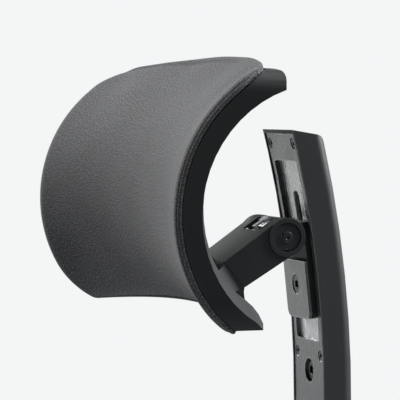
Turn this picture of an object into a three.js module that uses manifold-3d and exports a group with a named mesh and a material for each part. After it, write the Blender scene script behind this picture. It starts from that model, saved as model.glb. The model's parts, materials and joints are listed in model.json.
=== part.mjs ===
// Chair headrest attachment: a curved slotted post, a slider that clamps at any height on it,
// a friction hinge, an arm and a saddle-shaped padded headrest.
// Units are millimetres. +X is sideways, +Y is backwards, +Z is up.
// The origin is on the post's rear face, midway between its two mounting bolts.

import * as THREE from "three";
import { mergeVertices } from "three/addons/utils/BufferGeometryUtils.js";
import Module from "manifold-3d";

const wasm = await Module();
wasm.setup();

// ---------------------------------------------------------------- driving dimensions

const gap = 0.3; // between pieces that touch
const trim = 0.6; // how far a trimming outline stands clear of the edge it leaves alone

// The post. A place on it is given as x, depth behind the front rim, and height along the rim,
// as if the post were straight; bendPost then curves everything above bend.start forwards.
const post = { width: 53.5, depth: 21, wall: 2.6, bottom: -46, top: 186, corner: 7 };
const bend = { radius: 700, start: 12, step: 28, reach: 14 };
const pocket = { width: 51.1, depth: 3.3, bottom: -45.05, top: 184.9 };
const cavity = { width: 49.2, bottom: -43, top: 172 };
const plate = { width: 50.6, front: 0.7, back: 3.2, bottom: -44.8, top: 184.6 };
const window = { width: 40, bottom: 50, top: 166.8, corner: 3.5 };
const rail = { width: 18.8, front: 3.5, back: 6.5, bottom: 41.8, top: 180 };
const slot = { width: 9, bottom: 67.1, top: 146.3 };
const guide = {
  inner: 9.8,
  outer: 24.2,
  front: 3.5,
  back: 7,
  bottom: 36,
  top: 184,
  grooves: [11.6, 14.2, 16.8],
  grooveWidth: 1.3,
  grooveDepth: 1.1,
};
const plateScrew = { x: 19.75, upper: 178.3, lower: 41, headRadius: 3.5, radius: 1.5, length: 11 };
const railScrew = { upper: 174, lower: 46.5, headRadius: 2.9, radius: 1.4, length: 10 };
const mountBolt = { height: 30, headRadius: 6.5, headLength: 7.8, radius: 4, recessRadius: 7.8 };
const boss = { front: 7.3, radius: 4, screwClearance: 0.2, boreEnd: 14.5 };
const collar = { front: 10, radius: 11 }; // round each mounting bolt, inside the cover
const coneSlope = 0.8; // a countersunk head's depth over its radius step
const headLand = 0.4; // the straight rim of a countersunk head

// The slider that runs in the post's window.
const slider = { width: 37.5, bottom: 64.6, top: 127.5, back: 1.9, blockFront: -2.6 };
const sliderPlate = { front: -4.8, bottom: 64.6, top: 102.5, corner: 5 };
const clampScrew = { height: 86.6, headRadius: 6.2, radius: 3.8 };
const clampPlate = { width: 18, front: 6.8, back: 10.6, bottom: 76, top: 97 };

// The tilting hinge and the arm. Arm shapes are drawn with the hinge axis at their origin and
// the arm reaching towards -Y; armAngle then dips them.
const hinge = { y: -46.3, z: 117.8, shaftRadius: 5, boreRadius: 9.4 };
const armAngle = THREE.MathUtils.degToRad(33.2);
const arm = { halfWidth: 26, radius: 12, endTop: [-43.5, 10.6], endBottom: [-40.5, -10.6], wall: 2.8 };
const cheek = { inner: 19, outer: 27.2, radius: 12.3, recess: 3.4, recessRadius: 9.3 };
const knuckle = { inner: 9.3, outer: 18.6, radius: 8.8, web: 5 };
const clip = {
  count: 3,
  pitch: 5.6,
  half: 2,
  outer: 9,
  tailHalf: 1.3,
  tailEnd: -19.4,
  from: 150, // the angles, in degrees, between which its band runs round the shaft
  to: 468,
};
const hingeWindow = { half: 13.5, front: -10.5, back: 3.2 }; // cut into the top of the barrel
const hingeWasher = { radius: 8.2, thickness: 1.1 };
const hingeScrewHead = { radius: 3.6, thickness: 1.6, bodyRadius: 2.2, socketRadius: 1.5, reach: 8 };
const shaftTap = { radius: 2.7, depth: 9 }; // the threaded hole in each end of the hinge shaft

// The headrest. Its side profile is an arc about padCentre; bow pushes the middle back and up.
const padCentre = { y: -69.3, z: 138 };
const pad = {
  halfWidth: 150,
  top: 83,
  bottom: -68,
  frontMost: -180,
  backMost: 5,
  arcSteps: 10,
  bowSteps: 10,
};
const bow = { back: 30, lowLift: 8.5, highLift: 3.7 };
const flareAngle = THREE.MathUtils.degToRad(130); // above it the profile runs straight
const footAngle = THREE.MathUtils.degToRad(261);
const shell = {
  rear: 76.2,
  wallFront: 79.2,
  rimFront: 88,
  rimWidth: 5,
  topY: -24.9,
  topCorner: 6,
  heelAngle: THREE.MathUtils.degToRad(235.8),
  heelFoot: [-33.5, -75], // where the slanted heel would end below the floor
  lowCorner: { radius: 35, height: 22 }, // an arc that meets the floor at a slant
  highCorner: 13,
};
const openFront = 8; // how far the shell's hollow is cut past its rim
const pocketTopY = -30;
const gusset = { x: 42, half: 4, depth: 1.6 }; // a shallow recess in the shell on each side of the arm
const boardScrewSeat = 1.9;
const board = { rear: 83, front: 86.5, topAngle: THREE.MathUtils.degToRad(118) };
const cushion = {
  rear: 86.8,
  skin: 88.3,
  front: 94,
  plugTopY: -36,
  topFrontY: -45.5,
  topBackY: -39,
  rise: 1.5,
  drop: 0.6,
  inset: 2,
  highLift: 8.5,
  highCorner: 14,
};
const neckScrew = { x: 16, z: 5.6, headRadius: 4, radius: 2.2, head: -53.6, seat: -50.3, end: -34.2 };
const boardScrew = { x: 95, angle: 26, headRadius: 3.6, radius: 1.9, bossRadius: 4.2, length: 9 };
const screwRoom = 0.4; // a clearance hole's radius over its screw's

// ---------------------------------------------------------------- materials

const finishes = {
  blackPlastic: { color: 0x23272a, roughness: 0.55, metalness: 0 },
  shellPlastic: { color: 0x2b2f33, roughness: 0.6, metalness: 0 },
  greyPlate: { color: 0x5d6366, roughness: 0.38, metalness: 0.4 },
  darkRail: { color: 0x4b5053, roughness: 0.35, metalness: 0.6 },
  steel: { color: 0xb9bcbe, roughness: 0.28, metalness: 1 },
  blackSteel: { color: 0x33373a, roughness: 0.4, metalness: 0.7 },
  nylon: { color: 0xd8d6cf, roughness: 0.5, metalness: 0 },
  boardPlastic: { color: 0x3a3d40, roughness: 0.7, metalness: 0 },
  fabric: { color: 0x4a4b50, roughness: 0.95, metalness: 0 },
};

function piece(name, geometry, finish) {
  const mesh = new THREE.Mesh(geometry, new THREE.MeshStandardMaterial(finishes[finish]));
  mesh.name = name;
  return mesh;
}

// ---------------------------------------------------------------- solids and booleans

function toSolid(geometry) {
  const flat = geometry.index ? geometry.toNonIndexed() : geometry;
  const bare = new THREE.BufferGeometry();
  bare.setAttribute("position", flat.getAttribute("position"));
  const merged = mergeVertices(bare, 1e-4);
  const mesh = new wasm.Mesh({
    numProp: 3,
    vertProperties: new Float32Array(merged.getAttribute("position").array),
    triVerts: new Uint32Array(merged.index.array),
  });
  return new wasm.Manifold(mesh);
}

// A boolean can leave slivers of no volume beside its result; they are dropped.
function withoutSlivers(solid) {
  const bodies = solid.decompose().filter((body) => body.volume() > 0.01);
  return wasm.Manifold.compose(bodies);
}

function toGeometry(solid) {
  const mesh = withoutSlivers(solid).getMesh();
  const geometry = new THREE.BufferGeometry();
  geometry.setAttribute("position", new THREE.BufferAttribute(mesh.vertProperties, 3));
  geometry.setIndex(new THREE.BufferAttribute(mesh.triVerts, 1));
  const flat = geometry.toNonIndexed();
  flat.computeVertexNormals();
  return flat;
}

function cut(base, ...tools) {
  return toGeometry(tools.reduce((rest, tool) => rest.subtract(toSolid(tool)), toSolid(base)));
}

function join(base, ...others) {
  return toGeometry(others.reduce((whole, other) => whole.add(toSolid(other)), toSolid(base)));
}

function common(base, other) {
  return toGeometry(toSolid(base).intersect(toSolid(other)));
}

// ---------------------------------------------------------------- shapes

function box(x0, x1, y0, y1, z0, z1) {
  const geometry = new THREE.BoxGeometry(x1 - x0, y1 - y0, z1 - z0);
  return geometry.translate((x0 + x1) / 2, (y0 + y1) / 2, (z0 + z1) / 2);
}

// A round bar or a cone along Y, from y0 to y1.
function rod(x, z, radius, y0, y1, endRadius = radius, sides = 28) {
  const geometry = new THREE.CylinderGeometry(endRadius, radius, y1 - y0, sides);
  return geometry.translate(x, (y0 + y1) / 2, z);
}

// A turned piece about the Y axis, from a profile of [radius, y] points with rising y.
function turned(profile, sides) {
  const ends = [[0, profile[0][1]], ...profile, [0, profile[profile.length - 1][1]]];
  return new THREE.LatheGeometry(ends.map(([radius, y]) => new THREE.Vector2(radius, y)), sides);
}

// A round bar along X, from x0 to x1, about the origin.
function axle(radius, x0, x1, sides = 32) {
  const geometry = new THREE.CylinderGeometry(radius, radius, x1 - x0, sides);
  return geometry.rotateZ(-Math.PI / 2).translate((x0 + x1) / 2, 0, 0);
}

// A shape drawn in (y, z), extruded from x0 to x1.
function sideways(shape, x0, x1, curveSegments = 12, steps = 1) {
  const options = { depth: x1 - x0, bevelEnabled: false, curveSegments, steps };
  const geometry = new THREE.ExtrudeGeometry(shape, options);
  const axes = new THREE.Matrix4().makeBasis(
    new THREE.Vector3(0, 1, 0),
    new THREE.Vector3(0, 0, 1),
    new THREE.Vector3(1, 0, 0),
  );
  return geometry.applyMatrix4(axes).translate(x0, 0, 0);
}

// A shape drawn in (x, z), extruded from y0 to y1.
function frontways(shape, y0, y1, curveSegments = 6) {
  const options = { depth: y1 - y0, bevelEnabled: false, curveSegments };
  const geometry = new THREE.ExtrudeGeometry(shape, options);
  return geometry.rotateX(Math.PI / 2).translate(0, y1, 0);
}

// A shape drawn in (x, y), extruded from z0 to z1.
function upwards(shape, z0, z1, curveSegments = 6, steps = 1) {
  const options = { depth: z1 - z0, bevelEnabled: false, curveSegments, steps };
  return new THREE.ExtrudeGeometry(shape, options).translate(0, 0, z0);
}

// A rectangle whose four corner radii run anticlockwise from the lower left.
function roundedRectangle(x0, x1, z0, z1, radii) {
  const [a, b, c, d] = typeof radii === "number" ? [radii, radii, radii, radii] : radii;
  const shape = new THREE.Shape();
  shape.moveTo(x0 + a, z0);
  shape.lineTo(x1 - b, z0);
  if (b) shape.absarc(x1 - b, z0 + b, b, -Math.PI / 2, 0, false);
  shape.lineTo(x1, z1 - c);
  if (c) shape.absarc(x1 - c, z1 - c, c, 0, Math.PI / 2, false);
  shape.lineTo(x0 + d, z1);
  if (d) shape.absarc(x0 + d, z1 - d, d, Math.PI / 2, Math.PI, false);
  shape.lineTo(x0, z0 + a);
  if (a) shape.absarc(x0 + a, z0 + a, a, Math.PI, 1.5 * Math.PI, false);
  return shape;
}

function polygon(points) {
  return new THREE.Shape(points.map(([a, b]) => new THREE.Vector2(a, b)));
}

// ---------------------------------------------------------------- the post's curve

const bendCentreY = -post.depth - bend.radius;

// Where a place given as (depth behind the rim, height along the rim) lies in the real post.
function onPost(depth, height) {
  const turn = Math.max(0, (height - bend.start) / bend.radius);
  const radius = bend.radius + depth;
  const below = Math.min(0, height - bend.start);
  return {
    y: bendCentreY + radius * Math.cos(turn),
    z: bend.start + radius * Math.sin(turn) + below,
    turn,
  };
}

function bendPost(geometry) {
  const places = geometry.getAttribute("position");
  for (let i = 0; i < places.count; i += 1) {
    const place = onPost(places.getY(i), places.getZ(i));
    places.setY(i, place.y);
    places.setZ(i, place.z);
  }
  geometry.computeVertexNormals();
  return geometry;
}

// A bar that follows the post: a section drawn in (x, depth), from height z0 to z1.
function barOnPost(section, z0, z1, curveSegments = 4) {
  const steps = Math.max(1, Math.round((z1 - z0) / bend.step));
  return bendPost(upwards(section, z0, z1, curveSegments, steps));
}

function flatBarOnPost(x0, x1, front, back, z0, z1) {
  return barOnPost(roundedRectangle(x0, x1, front, back, 0), z0, z1);
}

// A sheet that follows the post between two depths, with rounded corners.
function sheetOnPost(halfWidth, front, back, z0, z1, corners) {
  const outline = roundedRectangle(-halfWidth, halfWidth, z0, z1, corners);
  const blank = flatBarOnPost(-halfWidth - 1, halfWidth + 1, front, back, z0 - 2, z1 + 2);
  return common(blank, throughPost(outline));
}

// A cutter or trimmer that goes right through the post, from an outline drawn in (x, height).
function throughPost(outline, curveSegments = 3) {
  return bendPost(frontways(outline, -bend.reach, bend.reach, curveSegments));
}

// A small piece drawn straight, with y as depth and z about its own height, set on the curve.
function placeOnPost(geometry, x, height) {
  const place = onPost(0, height);
  return geometry.rotateX(place.turn).translate(x, place.y, place.z);
}

function rodOnPost([x, height], radius, front, back, endRadius = radius, sides = 20) {
  return placeOnPost(rod(0, 0, radius, front, back, endRadius, sides), x, height);
}

// ---------------------------------------------------------------- the post

const plateScrewPlaces = {
  upper_left: [-plateScrew.x, plateScrew.upper],
  upper_right: [plateScrew.x, plateScrew.upper],
  lower_left: [-plateScrew.x, plateScrew.lower],
  lower_right: [plateScrew.x, plateScrew.lower],
};
const railScrewPlaces = { upper: [0, railScrew.upper], lower: [0, railScrew.lower] };
const mountBoltPlaces = { upper: [0, mountBolt.height], lower: [0, -mountBolt.height] };

// A channel section whose two rear corners are round.
function channelSection(half, front, back, corner) {
  return roundedRectangle(-half, half, front, back, [0, 0, corner, corner]);
}

// The outline that rounds the cover's top: its rear corner is round and it falls to the back.
function coverTrim() {
  const { top, bottom } = post;
  const shape = new THREE.Shape();
  shape.moveTo(-80, bottom - 10);
  shape.lineTo(20, bottom - 10);
  shape.lineTo(20, 150);
  shape.lineTo(-17, 165);
  shape.lineTo(-19.5, top - 9.5);
  shape.quadraticCurveTo(-20.5, top - 4.2, -26, top - 3.2);
  shape.lineTo(-45, top);
  shape.lineTo(-80, top);
  return sideways(shape, -40, 40, 8);
}

function postCover() {
  const half = post.width / 2;
  const inside = cavity.width / 2;
  const halfPocket = pocket.width / 2;
  const floor = post.depth - post.wall;
  const overTop = post.top + 14;
  const outside = barOnPost(channelSection(half, 0, post.depth, post.corner), post.bottom, overTop, 4);
  const round = post.corner - post.wall;
  const hollowSection = channelSection(inside, 2, floor, round);
  const shellBody = cut(
    outside,
    barOnPost(hollowSection, cavity.bottom, cavity.top, 3),
    flatBarOnPost(-halfPocket, halfPocket, -3, pocket.depth, pocket.bottom, pocket.top),
    flatBarOnPost(-inside, inside, 2, boss.front, guide.bottom - gap, guide.top + gap),
  );
  const bosses = [...Object.values(plateScrewPlaces), ...Object.values(railScrewPlaces)];
  const collars = Object.values(mountBoltPlaces);
  const filled = join(
    shellBody,
    ...bosses.map((place) => rodOnPost(place, boss.radius, boss.front, floor + 0.5, undefined, 16)),
    ...collars.map((place) => rodOnPost(place, collar.radius, collar.front, floor + 0.5, undefined, 20)),
  );
  const boreRadius = plateScrew.radius + boss.screwClearance;
  const bored = cut(
    filled,
    ...bosses.map((place) => rodOnPost(place, boreRadius, 4, boss.boreEnd, undefined, 12)),
    ...collars.map((place) => rodOnPost(place, mountBolt.recessRadius, 2, 30, undefined, 28)),
  );
  return common(bored, coverTrim());
}

function countersink([x, height], headRadius, radius, front, back, sides) {
  const profile = [
    [headRadius + gap, front - 1],
    [headRadius + gap, front + headLand + 0.1],
    [radius + gap, front + headLand + 0.1 + (headRadius - radius) * coneSlope],
    [radius + gap, back + 1],
  ];
  return placeOnPost(turned(profile, sides), x, height);
}

function frontPlate() {
  const half = plate.width / 2;
  const w = window.width / 2;
  const hole = roundedRectangle(-w, w, window.bottom, window.top, window.corner);
  const { headRadius, radius } = plateScrew;
  return cut(
    flatBarOnPost(-half, half, plate.front, plate.back, plate.bottom, plate.top),
    throughPost(hole),
    ...Object.values(plateScrewPlaces).map((place) =>
      countersink(place, headRadius, radius, plate.front, plate.back, 18),
    ),
    ...Object.values(mountBoltPlaces).map((place) =>
      rodOnPost(place, mountBolt.recessRadius, -1, 5, undefined, 30),
    ),
  );
}

function railBar() {
  const half = rail.width / 2;
  const w = slot.width / 2;
  const { headRadius, radius } = railScrew;
  return cut(
    flatBarOnPost(-half, half, rail.front, rail.back, rail.bottom, rail.top),
    throughPost(roundedRectangle(-w, w, slot.bottom, slot.top, w - 0.01)),
    ...Object.values(railScrewPlaces).map((place) =>
      countersink(place, headRadius, radius, rail.front, rail.back, 16),
    ),
  );
}

// A guide strip: three grooves run its whole length beside the rail bar.
function guideStrip(side) {
  const { inner, outer, front, back, bottom, top, grooves, grooveWidth, grooveDepth } = guide;
  const section = new THREE.Shape();
  section.moveTo(inner, front);
  for (const x of grooves) {
    section.lineTo(x, front);
    section.lineTo(x, front + grooveDepth);
    section.lineTo(x + grooveWidth, front + grooveDepth);
    section.lineTo(x + grooveWidth, front);
  }
  section.lineTo(outer, front);
  section.lineTo(outer, back);
  section.lineTo(inner, back);
  const screwPlaces = [plateScrewPlaces.upper_right, plateScrewPlaces.lower_right];
  const body = cut(
    barOnPost(section, bottom, top),
    ...screwPlaces.map((place) => rodOnPost(place, plateScrew.radius + gap, 0, 9, undefined, 12)),
  );
  return side === "left" ? toGeometry(toSolid(body).mirror([1, 0, 0])) : body;
}

// A countersunk screw along Y with a hexagon socket, its head's face at depth front.
function countersunkScrew(front, headRadius, radius, length, socketRadius, sides) {
  const coneEnd = front + headLand + (headRadius - radius) * coneSlope;
  const profile = [
    [headRadius, front],
    [headRadius, front + headLand],
    [radius, coneEnd],
    [radius, front + length],
  ];
  return cut(turned(profile, sides), rod(0, 0, socketRadius, front - 1, coneEnd, undefined, 6));
}

// A cap screw along Y with a hexagon socket and a chamfered head.
function capScrew(front, headRadius, headLength, radius, end, socketRadius) {
  const chamfer = 0.8;
  const socketEnd = front + headLength * 0.6;
  const profile = [
    [headRadius - chamfer, front],
    [headRadius, front + chamfer],
    [headRadius, front + headLength],
    [radius, front + headLength],
    [radius, end],
  ];
  return cut(turned(profile, 26), rod(0, 0, socketRadius, front - 1, socketEnd, undefined, 6));
}

function mountBush() {
  return cut(
    rod(0, 0, mountBolt.recessRadius - gap, collar.front + 0.2, post.depth, undefined, 26),
    rod(0, 0, mountBolt.radius + screwRoom, collar.front - 1, post.depth + 1, undefined, 16),
  );
}

function postPieces() {
  const group = new THREE.Group();
  group.add(piece("post_cover", postCover(), "blackPlastic"));
  group.add(piece("post_front_plate", frontPlate(), "greyPlate"));
  group.add(piece("rail_bar", railBar(), "darkRail"));
  for (const side of ["left", "right"]) {
    group.add(piece(`guide_strip_${side}`, guideStrip(side), "darkRail"));
  }
  for (const [name, [x, height]] of Object.entries(plateScrewPlaces)) {
    const { headRadius, radius, length } = plateScrew;
    const screw = countersunkScrew(plate.front + 0.3, headRadius, radius, length, 1.5, 18);
    group.add(piece(`plate_screw_${name}`, placeOnPost(screw, x, height), "blackSteel"));
  }
  for (const [name, [x, height]] of Object.entries(railScrewPlaces)) {
    const { headRadius, radius, length } = railScrew;
    const screw = countersunkScrew(rail.front + 0.1, headRadius, radius, length, 1.3, 12);
    group.add(piece(`rail_screw_${name}`, placeOnPost(screw, x, height), "blackSteel"));
  }
  for (const [name, [x, height]] of Object.entries(mountBoltPlaces)) {
    const { headRadius, headLength, radius } = mountBolt;
    const bolt = capScrew(2.1, headRadius, headLength, radius, post.depth - 0.6, 3.2);
    group.add(piece(`mount_bolt_${name}`, placeOnPost(bolt, x, height), "blackSteel"));
    group.add(piece(`mount_bush_${name}`, placeOnPost(mountBush(), x, height), "steel"));
  }
  return group;
}

// ---------------------------------------------------------------- the slider

// The block fills the window; two knuckles on a web carry the hinge shaft.
function sliderBlock() {
  const half = slider.width / 2;
  const { bottom, top, back, blockFront } = slider;
  const block = cut(
    sheetOnPost(half, blockFront, back, bottom, top, [5, 5, 3, 3]),
    rodOnPost([0, clampScrew.height], clampScrew.radius + 1, -9, 9),
  );
  const overlap = 1.2; // of the web into the block
  const reach = onPost(blockFront, hinge.z + knuckle.web).y - hinge.y + overlap;
  const webProfile = polygon([
    [0, -knuckle.web],
    [reach, -knuckle.web],
    [reach, knuckle.web],
    [0, knuckle.web],
  ]);
  const knuckles = [-1, 1].map((side) => {
    const [from, to] = sidePair(side, knuckle.inner, knuckle.outer);
    const solid = join(axle(knuckle.radius, from, to), sideways(webProfile, from, to));
    return cut(solid, axle(hinge.shaftRadius + gap, from - 1, to + 1)).translate(0, hinge.y, hinge.z);
  });
  return join(block, ...knuckles);
}

// The two x limits of a feature that lies between two distances from the middle, on one side.
function sidePair(side, near, far) {
  return side > 0 ? [near, far] : [-far, -near];
}

function sliderFrontPlate() {
  const half = slider.width / 2;
  const { front, bottom, top, corner } = sliderPlate;
  const back = slider.blockFront - gap;
  const { headRadius, radius, height } = clampScrew;
  return cut(
    sheetOnPost(half, front, back, bottom, top, [corner, corner, 1, 1]),
    countersink([0, height], headRadius, radius, front, back, 36),
  );
}

// A sheet that rides on the post, with the clamp screw's hole through it.
function slidingSheet(halfWidth, front, back, bottom, top, corner, clearance) {
  return cut(
    sheetOnPost(halfWidth, front, back, bottom, top, corner),
    rodOnPost([0, clampScrew.height], clampScrew.radius + clearance, front - 2, back + 2),
  );
}

function glidePad() {
  const front = slider.back + gap;
  return slidingSheet(8.5, front, front + 1, slider.bottom + 3, slider.top - 4, 2, 0.5);
}

function clampPlateBody() {
  const { width, front, back, bottom, top } = clampPlate;
  return slidingSheet(width / 2, front, back, bottom, top, 2, gap);
}

// The shaft's ends are tapped for the two hinge screws.
function hingeShaft() {
  const length = cheek.outer - cheek.recess - 0.8;
  const body = cut(
    axle(hinge.shaftRadius, -length, length),
    axle(shaftTap.radius, -length - 1, shaftTap.depth - length, 16),
    axle(shaftTap.radius, length - shaftTap.depth, length + 1, 16),
  );
  return body.translate(0, hinge.y, hinge.z);
}

function sliderPieces() {
  const group = new THREE.Group();
  group.add(piece("slider_block", sliderBlock(), "blackPlastic"));
  group.add(piece("slider_front_plate", sliderFrontPlate(), "greyPlate"));
  group.add(piece("slider_glide_pad", glidePad(), "nylon"));
  const { headRadius, radius, height } = clampScrew;
  const screw = countersunkScrew(sliderPlate.front + 0.2, headRadius, radius, 17.5, 2.9, 32);
  group.add(piece("slider_clamp_screw", placeOnPost(screw, 0, height), "blackSteel"));
  group.add(piece("slider_clamp_plate", clampPlateBody(), "steel"));
  group.add(piece("hinge_shaft", hingeShaft(), "steel"));
  return group;
}

// ---------------------------------------------------------------- the arm

const neckScrewPlaces = [-1, 1].flatMap((side) =>
  [-1, 1].map((level) => [side * neckScrew.x, level * neckScrew.z]),
);
const coreScrewPlaces = [-1, 1].map((side) => [side * 17, -26]);
const clipOffsets = Array.from({ length: clip.count }, (_, i) => (i - (clip.count - 1) / 2) * clip.pitch);

// Turns a shape drawn about the hinge axis, arm towards -Y, into its place.
function placeOnArm(geometry) {
  return geometry.rotateX(armAngle).translate(0, hinge.y, hinge.z);
}

// A round bar along Z, from z0 to z1.
function pillar([x, y], radius, z0, z1, sides = 20) {
  return new THREE.CylinderGeometry(radius, radius, z1 - z0, sides)
    .rotateX(Math.PI / 2)
    .translate(x, y, (z0 + z1) / 2);
}

function armProfile() {
  const shape = new THREE.Shape();
  shape.moveTo(...arm.endBottom);
  shape.lineTo(0, -arm.radius);
  shape.absarc(0, 0, arm.radius, -Math.PI / 2, Math.PI / 2, false);
  shape.lineTo(...arm.endTop);
  return shape;
}

// The hollow box that holds the core, from the hinge bore to the screwed end wall.
const armHollow = polygon([
  [-7.9, -8],
  [-7.9, 9.2],
  [-32.5, 8],
  [-31.5, -8],
]);

// Where the barrel is open at the rear, so that the slider's web can pass as the arm tilts.
const barrelOpening = polygon([
  [0, 0],
  [-0.9, -26],
  [26, -26],
  [26, 16.2],
]);

function armHousing() {
  const { halfWidth, wall } = arm;
  const bosses = [-1, 1].map((side) => axle(cheek.radius, ...sidePair(side, cheek.inner, cheek.outer), 40));
  const recesses = [-1, 1].map((side) =>
    axle(cheek.recessRadius, ...sidePair(side, cheek.outer - cheek.recess, cheek.outer + 1), 40),
  );
  const body = cut(
    join(sideways(armProfile(), -halfWidth, halfWidth, 12), ...bosses),
    sideways(armHollow, wall - halfWidth, halfWidth - wall),
    axle(hinge.boreRadius, -cheek.inner, cheek.inner, 40),
    axle(hinge.shaftRadius + gap, -40, 40),
    sideways(barrelOpening, -cheek.inner, cheek.inner),
    ...recesses,
    box(-hingeWindow.half, hingeWindow.half, hingeWindow.front, hingeWindow.back, 4, 20),
    ...neckScrewPlaces.map(([x, z]) => rod(x, z, neckScrew.radius + gap, -60, -33.5, undefined, 16)),
    ...coreScrewPlaces.map((place) => pillar(place, 1.9, -15, -3, 16)),
  );
  return placeOnArm(body);
}

// The steel plate inside the arm holds the friction clips' tails. A strip runs from it to the
// window over the hinge, where it ends in a raised tab.
function armCore() {
  const floor = -6.4;
  const stripTop = 8.2;
  const tabFloor = 13.2;
  const sheet = 1.6; // the thickness of the strip and the tab
  const tabTop = tabFloor + sheet;
  const stripEnd = hingeWindow.front + gap;
  const body = join(
    box(-21, 21, -30.5, -11.2, floor, floor + 2.2),
    box(-12.5, 12.5, -20, -17.6, floor + 1, stripTop),
    box(-12, 12, -20, stripEnd + sheet, stripTop - sheet, stripTop),
    box(8, 12, stripEnd, stripEnd + sheet, stripTop - 1, tabTop),
    box(8, 12, stripEnd, 0.8, tabFloor, tabTop),
    box(4.5, 14, -3.4, 0.8, tabFloor, tabTop),
    box(-12, -9.5, stripEnd, stripEnd + sheet, stripTop - 1, stripTop + 2.6),
    box(-3, 3, stripEnd, stripEnd + sheet, stripTop - 1, stripTop + 2),
  );
  const slotHalf = clip.half + gap;
  const slotLevel = clip.tailHalf + gap;
  const slots = clipOffsets.map((x) => box(x - slotHalf, x + slotHalf, -21, -15, -slotLevel, slotLevel));
  return placeOnArm(cut(body, ...slots, ...coreScrewPlaces.map((place) => pillar(place, 2.1, -12, 0, 16))));
}

// A spring-steel band wrapped round the shaft, open at the front of its top, with a tail into
// the core.
function frictionClip(x) {
  const { half, outer, tailHalf, tailEnd } = clip;
  const inner = hinge.shaftRadius + gap / 2;
  const from = THREE.MathUtils.degToRad(clip.from);
  const to = THREE.MathUtils.degToRad(clip.to);
  const band = new THREE.Shape();
  band.absarc(0, 0, outer, from, to, false);
  band.absarc(0, 0, inner, to, from, true);
  const tail = box(x - half, x + half, tailEnd, -inner - gap, -tailHalf, tailHalf);
  return placeOnArm(join(sideways(band, x - half, x + half, 13), tail));
}

function washer(side) {
  const seat = cheek.outer - cheek.recess + gap;
  const [from, to] = sidePair(side, seat, seat + hingeWasher.thickness);
  const bore = axle(hingeScrewHead.bodyRadius + gap, from - 1, to + 1, 16);
  return placeOnArm(cut(axle(hingeWasher.radius, from, to, 28), bore));
}

const hingeScrewSeat = cheek.outer - cheek.recess + gap + hingeWasher.thickness + gap;

// The screw that closes the hinge: a flat head with a socket, screwed into the shaft's end.
function hingeScrew(side) {
  const seat = hingeScrewSeat;
  const { radius, thickness, bodyRadius, socketRadius, reach } = hingeScrewHead;
  const body = join(
    axle(radius, ...sidePair(side, seat, seat + thickness), 36),
    axle(bodyRadius, ...sidePair(side, seat - reach, seat + 0.5), 16),
  );
  return placeOnArm(cut(body, axle(socketRadius, ...sidePair(side, seat + 0.4, seat + 3), 6)));
}

// A ring with one step in its edge lies round the screw head and fills the recess.
function hingeRing(side) {
  const outer = cheek.recessRadius - gap;
  const [from, to] = sidePair(side, hingeScrewSeat, cheek.outer - 1);
  const body = cut(
    axle(outer, from, to, 40),
    axle(hingeScrewHead.radius + gap, from - 1, to + 1, 36),
    box(from - 1, to + 1, -outer - 1, -3.6, -outer - 1, -6.2),
  );
  return placeOnArm(body);
}

function coreScrew(place) {
  const body = join(pillar(place, 3.2, -3.9, -2.1, 20), pillar(place, 1.6, -10, -3, 12));
  return placeOnArm(cut(body, pillar(place, 1.3, -3, -1, 6)));
}

function armPieces() {
  const group = new THREE.Group();
  group.add(piece("arm_housing", armHousing(), "blackPlastic"));
  group.add(piece("arm_core", armCore(), "steel"));
  clipOffsets.forEach((x, i) => {
    group.add(piece(`friction_clip_${i + 1}`, frictionClip(x), "steel"));
  });
  for (const [name, side] of [["left", -1], ["right", 1]]) {
    group.add(piece(`hinge_washer_${name}`, washer(side), "nylon"));
    group.add(piece(`hinge_screw_${name}`, hingeScrew(side), "blackSteel"));
    group.add(piece(`hinge_ring_${name}`, hingeRing(side), "blackPlastic"));
  }
  coreScrewPlaces.forEach((place, i) => {
    group.add(piece(`core_screw_${i + 1}`, coreScrew(place), "blackSteel"));
  });
  return group;
}

// ---------------------------------------------------------------- the headrest

// 1 in the middle of the pad and 0 at its two ends.
function across(x) {
  return 1 - (x / pad.halfWidth) ** 2;
}

// How far the bow lifts a place, which is less at the pad's top than at its bottom.
function liftAt(x, height) {
  const share = THREE.MathUtils.clamp((height - pad.bottom) / (pad.top - pad.bottom), 0, 1);
  return across(x) * THREE.MathUtils.lerp(bow.lowLift, bow.highLift, share);
}

// Pushes the middle of a straight pad piece back and up, which gives the head's cradle.
function bowPad(geometry) {
  const places = geometry.getAttribute("position");
  for (let i = 0; i < places.count; i += 1) {
    const x = places.getX(i);
    const z = places.getZ(i);
    places.setY(i, places.getY(i) + bow.back * across(x));
    places.setZ(i, z + liftAt(x, z - padCentre.z));
  }
  geometry.computeVertexNormals();
  return geometry;
}

// Where the flare that leaves an arc of this radius reaches a height.
function flareEnd(radius, height) {
  const sine = Math.sin(flareAngle);
  const cosine = Math.cos(flareAngle);
  return [radius * cosine - ((height - radius * sine) / cosine) * sine, height];
}

function onArc(radius, angle) {
  return [radius * Math.cos(angle), radius * Math.sin(angle)];
}

// A side profile whose front flares and whose rear is a plain arc that turns up at topY.
function padProfile(rear, front, top, topY, corner = 0) {
  const shape = new THREE.Shape();
  shape.moveTo(...flareEnd(front, top));
  shape.lineTo(...onArc(front, flareAngle));
  shape.absarc(0, 0, front, flareAngle, footAngle, false);
  shape.lineTo(...shell.heelFoot);
  shape.absarc(0, 0, rear, shell.heelAngle, Math.acos(topY / rear), true);
  shape.lineTo(topY, top - corner);
  if (corner) shape.quadraticCurveTo(topY, top, topY - corner, top);
  return shape;
}

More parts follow.
